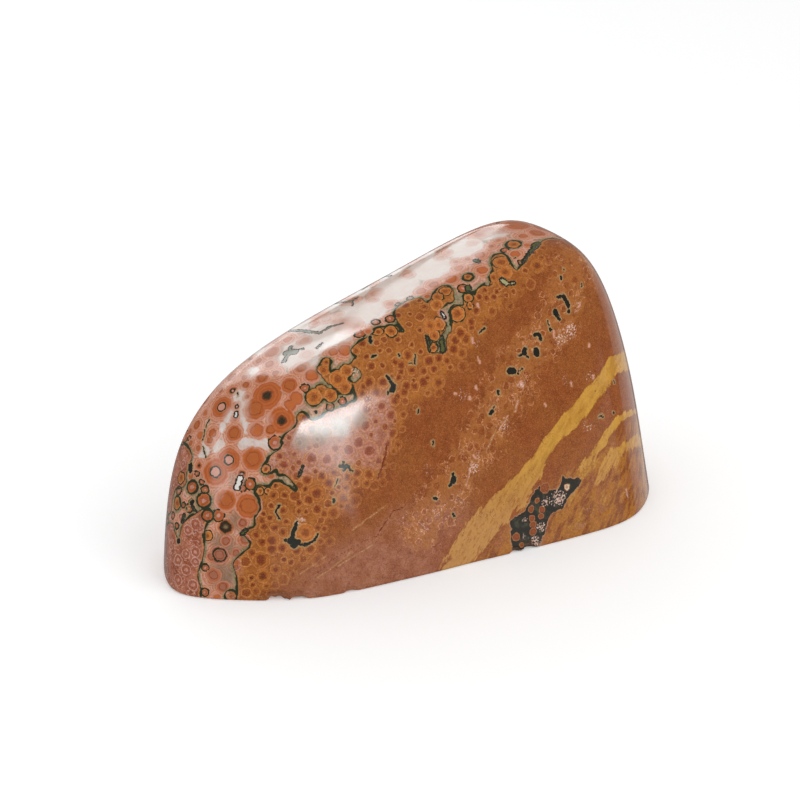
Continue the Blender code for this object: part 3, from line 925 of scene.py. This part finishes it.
stoneTones = colours({
    "chalcedony": ((142, 118, 88), (180, 128, 108)),
    "frost": (210, 190, 174),
    "layers": ((214, 168, 150), (192, 122, 92), (216, 160, 134), (190, 112, 76)),      # from the outside in
    "flecks": (226, 188, 170),
    # dull grey chalcedony; its darker tone, low down, is partly painted shade on the nose
    "grey": ((120, 100, 78), (152, 140, 126)),
    # white chalcedony, and painted sheen along the top highlight band
    "milk": ((220, 207, 200), (206, 178, 164)),
    # painted sheen: the pale wash of the reflection on the top of the stone
    "veil": (222, 204, 194),
    "rust": ((132, 68, 30), (152, 84, 42)),
    "rustPatch": (152, 92, 42),
    "ochre": ((156, 90, 42), (178, 112, 56)),
    "ochreCleft": (126, 66, 30),
    "rosy": ((150, 84, 62), (186, 120, 98)),
    "squiggle": (222, 170, 152),
    # pink of the patches, partly painted reflection haze
    "pink": ((172, 114, 96), (202, 152, 136)),
    "cells": (176, 114, 64),
    "lace": (226, 164, 124),
    "mixed": ((134, 74, 34), (174, 114, 50)),
    "mixedBrown": (162, 100, 60),
    "mixedYellow": (194, 142, 64),
    "yellow": ((184, 134, 60), (204, 154, 74)),
    "yellowFoot": (184, 132, 86),
    "yellowFleck": (168, 108, 52),
    "lip": (202, 144, 92),
    "innerOlive": ((104, 104, 70), (150, 142, 108)),
    "outerOlive": ((98, 98, 64), (140, 132, 98)),
    "hollow": ((32, 26, 12), (64, 62, 44)),
    "hollowRim": (178, 134, 104),
    # orb colours in the pink patches, partly painted reflection haze
    "roseBody": (198, 142, 126),
    "roseCore": (160, 84, 66),
    "rings": (222, 190, 166),
    "coreLine": (104, 40, 18),
    "cleft": (112, 54, 26),
    "darkGrain": (104, 46, 20),
    "lightGrain": (218, 154, 106),
    "craze": (112, 52, 26),
    "speck": (88, 40, 20),
    "hair": (96, 44, 24),
    "film": (124, 124, 110),
    "contour": (38, 44, 20),
    "slitEdge": (40, 34, 22),
    "druse": (222, 186, 168),
    "chip": (170, 112, 76),
})

def finishStone(piece):
    f, tones, grains = Finish("landscape jasper"), stoneTones, stoneGrains
    place = f.scaled(f.node("TexCoord", output="Object"), 1000.0)          # millimetres
    across, height = f.part(place, 0), f.part(place, 2)
    wander = f.vectorMath("SUBTRACT", f.grain(place, grains["wander"], "Color"), (0.5, 0.5, 0.5))
    bent = f.vectorMath("ADD", place, f.scaled(wander, stoneFinish["bend"]))
    broad, medium = f.grain(place, grains["broad"]), f.grain(place, grains["medium"])
    fine, tiny = f.grain(place, grains["fine"]), f.grain(place, grains["tiny"])
    sway = medium - 0.5
    # milk is partly painted sheen on the top band, grey partly painted shade low on the nose, rose partly
    # painted reflection haze
    milk, greyShare, rose = f.read("milkAndSheenShare"), f.read("greyShare"), f.read("roseAndReflectionShare")

    reach = f.vectorMath("DISTANCE", bent, f.read("orbPlace", "Vector"), output="Value")
    form, finish = f.read("orbForm", "Vector"), f.read("orbFinish", "Vector")
    beyond = reach - f.part(form, 0)

    # Chalcedony, in bands that follow the orbs
    layer = beyond + sway * 1.4
    chalcedony = f.between(broad, 0.42, 0.58, tones["chalcedony"])
    chalcedony = f.mix(f.step(f.grain(bent, grains["frost"]), 0.6, 0.7) * 0.7, chalcedony, tones["frost"])
    for (full, gone), tone in zip(stoneFinish["layers"], tones["layers"]):
        chalcedony = f.mix(1 - f.step(layer, full, gone), chalcedony, tone)
    chalcedony = f.mix(f.step(fine, 0.45, 0.7) * 0.3, chalcedony, tones["flecks"])
    # darker below 28 mm: partly painted shade low on the nose
    grey = f.between(height, 28.0, 40.0, tones["grey"])
    chalcedony = f.mix(greyShare * (0.5 + medium * 0.5), chalcedony, grey)
    # white chalcedony, with painted sheen where the milk marks follow the top highlight band
    milkAndSheenTone = f.mix(f.step(medium, 0.42, 0.62) * 0.7, *tones["milk"])
    milkAndSheenHere = f.step(beyond + milk * 1.3 + sway * 0.9, 0.85, 1.6) * f.step(milk, 0.2, 0.5)
    chalcedony = f.mix(milkAndSheenHere, chalcedony, milkAndSheenTone)

    # The jasper mass: rust, ochre, the rosy foot of the nose and the pink patches, which are partly painted
    # reflection haze
    rust = f.between(medium, 0.3, 0.7, tones["rust"])
    rust = f.mix(f.step(broad, 0.4, 0.65) * 0.5, rust, tones["rustPatch"])
    ochre = f.between(medium, 0.35, 0.65, tones["ochre"])
    ochre = f.mix(f.line(beyond, 0.0, 0.2) * 0.4, ochre, tones["ochreCleft"])
    ground = f.mix(f.step(f.read("ochreShare") + sway * 0.9, 0.25, 0.75), rust, ochre)
    squiggle = f.line(f.grain(place, grains["squiggle"]) - 0.5, 0.01, 0.035)
    squiggle = squiggle * f.step(f.grain(place, grains["squigglePatch"]), 0.42, 0.5)
    rosy = f.mix(squiggle * 0.85, f.between(medium, 0.4, 0.6, tones["rosy"]), tones["squiggle"])
    ground = f.mix(f.step(across * -1 + medium * 6, 64.0, 68.0), ground, rosy)
    # pink patches: partly painted reflection haze
    pink = f.between(medium, 0.35, 0.65, tones["pink"])
    ground = f.mix(rose * (0.65 + medium * 0.5), ground, pink)

    # A network of cells and lace
    cells = f.node("TexVoronoi", {"feature": "F1"}, Vector=bent, Scale=0.4, Randomness=0.9)
    belt = f.read("cellShare") + sway * 1.5
    ground = f.mix(f.step(cells, 0.34, 0.45) * f.step(belt, 0.6, 0.9) * 0.6, ground, tones["cells"])
    lace = f.line(cells - 0.4, 0.015, 0.055) * f.step(f.grain(place, grains["lacePatch"]), 0.46, 0.58)
    strands = f.line(f.grain(place, grains["strand"]) - 0.5, 0.006, 0.026)
    strands = strands * f.step(f.grain(place, grains["strandPatch"]), 0.5, 0.6)
    ground = f.mix(lace.atLeast(strands) * f.step(belt, 0.2, 0.7) * 0.75, ground, tones["lace"])

    # The mixed corner and the yellow bands
    streaked = f.node("Mapping", {"vector_type": "TEXTURE"}, Vector=place,
                      Rotation=(0.0, math.radians(stoneFinish["streakTilt"]), 0.0),
                      Scale=stoneFinish["streakStretch"])
    streaks = f.grain(streaked, grains["streaks"])
    mixed = f.between(streaks, 0.42, 0.56, tones["mixed"])
    brownHere = f.step(f.grain(streaked, grains["mixedBrown"]), 0.5, 0.6)
    mixed = f.mix(brownHere * 0.75, mixed, tones["mixedBrown"])
    yellowHere = f.step(f.grain(streaked, grains["mixedYellow"]), 0.57, 0.63)
    mixed = f.mix(yellowHere * 0.8, mixed, tones["mixedYellow"])
    ground = f.mix(f.step(f.read("mixedShare"), 0.2, 0.8), ground, mixed)
    low = 1 - f.step(height, 10.0, 26.0)
    ragged = f.read("bandDepth") + (streaks - 0.5) * (2.4 + low * 5.0) + (fine - 0.5) * 0.6
    yellow = f.mix(low * 0.6, f.between(streaks, 0.36, 0.6, tones["yellow"]), tones["yellowFoot"])
    yellowFlecks = f.step(f.grain(streaked, grains["yellowFleck"]), 0.55, 0.62) * (0.3 + low * 0.5)
    yellow = f.mix(yellowFlecks, yellow, tones["yellowFleck"])
    onBand = f.step(ragged, -0.15, 0.2)
    ground = f.mix(onBand, ground, yellow)

    # Where the mass meets the chalcedony
    wandering = (f.grain(place, grains["edge"]) - 0.5) * (2 * stoneFinish["edgeWander"])
    depth = f.read("massDepth") + wandering
    lip = f.step(depth, 0.2, 0.45) * (1 - f.step(depth, 0.5, 0.9))
    ground = f.mix(lip * 0.5, ground, tones["lip"])
    margin = f.step(depth + sway, -1.3, -0.1)
    edged = f.mix(margin * 0.8, chalcedony, f.between(fine, 0.4, 0.6, tones["innerOlive"]))
    shade = f.mix(f.step(depth, -0.05, 0.05), edged, ground)

    # The dark hollow
    hollow = f.read("hollowDepth") + (fine - 0.5) * 0.4 + (f.grain(place, grains["hollow"]) - 0.5) * 1.6
    shade = f.mix(f.line(hollow, 0.12, 0.34) * 0.8, shade, tones["hollowRim"])
    inHollow = f.step(hollow, 0.0, 0.12)
    shade = f.mix(inHollow, shade, f.between(medium, 0.5, 0.7, tones["hollow"]))

    # Orbs
    inMass, orbShow = f.step(depth, 0.0, 0.1), f.read("orbShow")
    rimWidth, soft = f.part(finish, 1), f.part(finish, 2)
    core = f.part(form, 1) * (0.45 + medium * 1.1)
    rings = ((reach * 6.3 + medium * 3).calculate("SINE") * 0.5 + 0.5) * 0.6
    # orbs turn pinker in the pink patches, partly painted reflection haze
    body = f.mix(rose * 0.8, f.read("orbBody", "Color"), tones["roseBody"])
    body = f.mix(rings, body, tones["rings"], "MULTIPLY")
    heart = f.mix(rose * 0.5, f.read("orbCore", "Color"), tones["roseCore"])
    inner = f.between(reach, core * (1 - soft), core * (1 + soft), (heart, body))
    inner = f.mix(f.line(reach - core, 0.03, 0.22) * fine, inner, tones["coreLine"])
    rim = f.step(beyond, rimWidth * -1.3, rimWidth * -0.3) * (0.35 + medium)
    inner = f.mix(rim, inner, f.read("orbRim", "Color"))
    shade = f.mix(f.step(beyond * -1, -0.08, 0.32 - inMass * 0.25) * orbShow, shade, inner)
    shade = f.mix(f.line(beyond, 0.02, 0.16) * orbShow * inMass * 0.45, shade, tones["cleft"])

    # Grain, fine cracks and hair lines
    within = (inMass * 0.75 + 0.25) * (1 - inHollow) * (1 - onBand * 0.65)
    shade = f.mix((1 - f.step(fine, 0.34, 0.6)) * within * 0.45, shade, tones["darkGrain"])
    shade = f.mix(f.step(tiny, 0.52, 0.64) * within * 0.32, shade, tones["lightGrain"])
    craze = f.line(f.grain(place, grains["craze"]) - 0.5, 0.004, 0.022)
    shade = f.mix(craze * within * 0.3, shade, tones["craze"])
    shade = f.mix(f.step(f.grain(place, grains["speck"]), 0.7, 0.75) * within * 0.6, shade, tones["speck"])
    hair = f.line(f.grain(place, grains["hair"]) - 0.5, 0.003, 0.014)
    hair = hair * f.step(f.grain(place, grains["hairPatch"]), 0.52, 0.6) * f.step(depth, 0.0, 0.2)
    shade = f.mix(hair * 0.6, shade, tones["hair"])

    # A grey film, an olive margin, and a painted sheen high on the stone, a pale wash along the top highlight
    # band
    shade = f.mix(rose * greyShare.atMost(1.0) * 0.55, shade, tones["film"])
    outer = f.step(depth + sway * 0.5, -0.95, -0.2) * (1 - f.step(depth, -0.05, 0.05))
    shade = f.mix(outer * 0.6, shade, f.between(fine, 0.4, 0.6, tones["outerOlive"]))
    # painted reflection: the top of the stone washed pale where the highlight band lies
    veil = milk.atMost(1.0) * f.step(height, 40.0, 52.0) * (1 - f.step(depth, -0.6, 0.0)) * 0.7
    shade = f.mix(veil, shade, tones["veil"])

    # The dark lines round the mass, and on and round some orbs
    edge = f.part(finish, 0)
    lines = f.line(reach - f.part(form, 2), 0.16, 0.28).atLeast(f.line(beyond, edge, edge + 0.12))
    edgeHere = f.step(f.grain(place, grains["edgePatch"]), 0.4, 0.7)
    edgeWidth = stoneFinish["edgeLine"] * (0.2 + edgeHere * 1.6)
    contour = f.line(depth, edgeWidth * 0.8, edgeWidth + 0.14)
    shade = f.mix(contour.atLeast(lines), shade, tones["contour"])

    # Slits and pores
    start, span = f.read("slitStart", "Vector"), f.read("slitSpan", "Vector")
    fromStart = f.vectorMath("SUBTRACT", bent, start)
    along = (f.vectorMath("DOT_PRODUCT", fromStart, span, output="Value")
             / f.vectorMath("DOT_PRODUCT", span, span, output="Value")).atLeast(0.0).atMost(1.0)
    slitForm = f.read("slitForm", "Vector")
    slitLine = f.part(slitForm, 1)
    slitGap = (f.vectorMath("DISTANCE", fromStart, f.scaled(span, along), output="Value")
               - f.part(slitForm, 0) + (fine - 0.5) * 0.9)
    halo = 1 - f.step(slitGap, 0.0, f.part(slitForm, 2))
    shade = f.mix(halo * 0.75, shade, f.read("slitHalo", "Color"))
    slit = 1 - f.step(slitGap, -0.06, 0.08)
    shade = f.mix(slit, shade, f.read("slitTone", "Color"))
    shade = f.mix(f.line(slitGap, slitLine, slitLine + 0.1), shade, tones["slitEdge"])

    # Druse, and the broken and sawn surfaces
    druse, chip = f.read("druseShare"), f.read("chipShare")
    crystals = f.step(f.grain(place, grains["druse"]) + druse * 0.2, 0.66, 0.74) * f.step(druse, 0.05, 0.3)
    shade = f.mix(crystals * 0.9, shade, tones["druse"])
    shade = f.mix(chip * 0.2, shade, tones["chip"])
    sawn = f.read("sawnShare").atLeast(chip)

    f.feed("Base Color", f.node("HueSaturation", Saturation=stoneFinish["saturation"],
                                Value=stoneFinish["value"], Color=shade))
    polished = stoneFinish["polish"] + medium * 0.03 + crystals * 0.1
    f.feed("Roughness", polished * (1 - sawn) + sawn * stoneFinish["sawn"])
    relief = slit * -0.25 + crystals * 0.04 + medium * 0.02 + fine * sawn * 0.2
    f.feed("Normal", f.node("Bump", Strength=stoneFinish["bump"], Distance=0.001, Height=relief))
    f.shader.inputs["IOR"].default_value = stoneFinish["refraction"]
    piece.data.materials.append(f.material)

finishStone(stone)
print("stone finished")

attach(stone, "root")
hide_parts("jasper_stone")

# The floor, and soft studio light. Cards are seen in the polish alone, the key lights alone.
studio = {
    "floorSize": 6.0,
    "floorColour": (0.94, 0.94, 0.94),
    "skyStrength": 0.8,
    "skyInPolish": 0.35,     # share of the sky that the polish shows
    "floorGlow": 0.16,
    "cardTint": (0.87, 0.97, 1.0),
    "middle": (0.0, 0.0, 0.04),
    "cards": {               # degrees round from +Y and up, metres away, size, roll in degrees, brightness
        "high left card": (-6.0, 51.0, 1.2, (0.5, 0.29), -5.0, 3.8),
        "high right card": (21.5, 37.0, 1.2, (0.99, 0.15), 61.0, 2.5),
        "middle back card": (-7.0, 36.5, 1.2, (0.72, 0.31), 14.0, 2.7),
        "back card": (3.0, 22.6, 1.2, (1.15, 0.28), 23.0, 2.3),
        "low back card": (-2.0, 10.0, 1.2, (1.15, 0.3), 22.0, 0.8),
        "window": (179.0, 11.2, 1.0, (0.5, 0.08), -22.0, 13.5),
        "window glow": (180.0, 10.2, 1.05, (0.6, 0.14), -20.0, 2.8),
        "left strip": (-92.0, 22.0, 0.9, (0.95, 0.1), -22.0, 2.2),
        "right card": (80.0, -8.0, 1.2, (0.9, 0.7), 0.0, 0.45),
        "low front card": (168.0, -10.0, 1.2, (2.4, 0.4), 0.0, 0.38),
    },
    "keys": {
        "front key": (155.0, 45.0, 1.5, (1.2, 1.2), 0.0, 1.4),
    },
}

def makeFloor():
    deselectAll()
    bpy.ops.mesh.primitive_plane_add(size=studio["floorSize"], location=(0.0, 0.0, 0.0))
    floor = bpy.context.active_object
    floor.name = "studio_floor"
    paint = bpy.data.materials.new("white floor")
    paint.use_nodes = True
    shader = paint.node_tree.nodes["Principled BSDF"]
    shader.inputs["Base Color"].default_value = (*studio["floorColour"], 1.0)
    shader.inputs["Roughness"].default_value = 0.6
    shader.inputs["Emission Color"].default_value = (1.0, 1.0, 1.0, 1.0)
    shader.inputs["Emission Strength"].default_value = studio["floorGlow"]
    floor.data.materials.append(paint)
    floor.visible_glossy = False

def makeLamp(name, turn, lean, away, size, roll, brightness, polishOnly):
    light = bpy.data.lights.new(name, "AREA")
    light.shape, light.size, light.size_y = "RECTANGLE", *size
    light.energy = brightness * math.pi * size[0] * size[1]
    light.color = studio["cardTint"] if polishOnly else (1.0, 1.0, 1.0)
    lamp = bpy.data.objects.new(name, light)
    turn, lean = math.radians(turn), math.radians(lean)
    toLamp = Vector((math.sin(turn) * math.cos(lean), math.cos(turn) * math.cos(lean), math.sin(lean)))
    facing = toLamp.to_track_quat("Z", "Y").to_matrix()
    rolled = Matrix.Rotation(math.radians(roll), 3, toLamp) @ facing
    lamp.matrix_world = Matrix.Translation(Vector(studio["middle"]) + toLamp * away) @ rolled.to_4x4()
    lamp.visible_diffuse, lamp.visible_glossy = not polishOnly, polishOnly
    bpy.context.scene.collection.objects.link(lamp)

def makeLights():
    for name, card in studio["cards"].items():
        makeLamp(name, *card, True)
    for name, key in studio["keys"].items():
        makeLamp(name, *key, False)
    sky = bpy.data.worlds.new("white studio")
    sky.use_nodes = True
    background, nodes = sky.node_tree.nodes["Background"], sky.node_tree.nodes
    background.inputs["Color"].default_value = (1.0, 1.0, 1.0, 1.0)
    rays, shares = nodes.new("ShaderNodeLightPath"), nodes.new("ShaderNodeMapRange")
    shares.inputs["To Min"].default_value = studio["skyStrength"]
    shares.inputs["To Max"].default_value = studio["skyStrength"] * studio["skyInPolish"]
    sky.node_tree.links.new(rays.outputs["Is Glossy Ray"], shares.inputs["Value"])
    sky.node_tree.links.new(shares.outputs["Result"], background.inputs["Strength"])
    bpy.context.scene.world = sky
    bpy.context.scene.view_settings.view_transform = "Standard"

makeFloor()
makeLights()
print("studio lit")
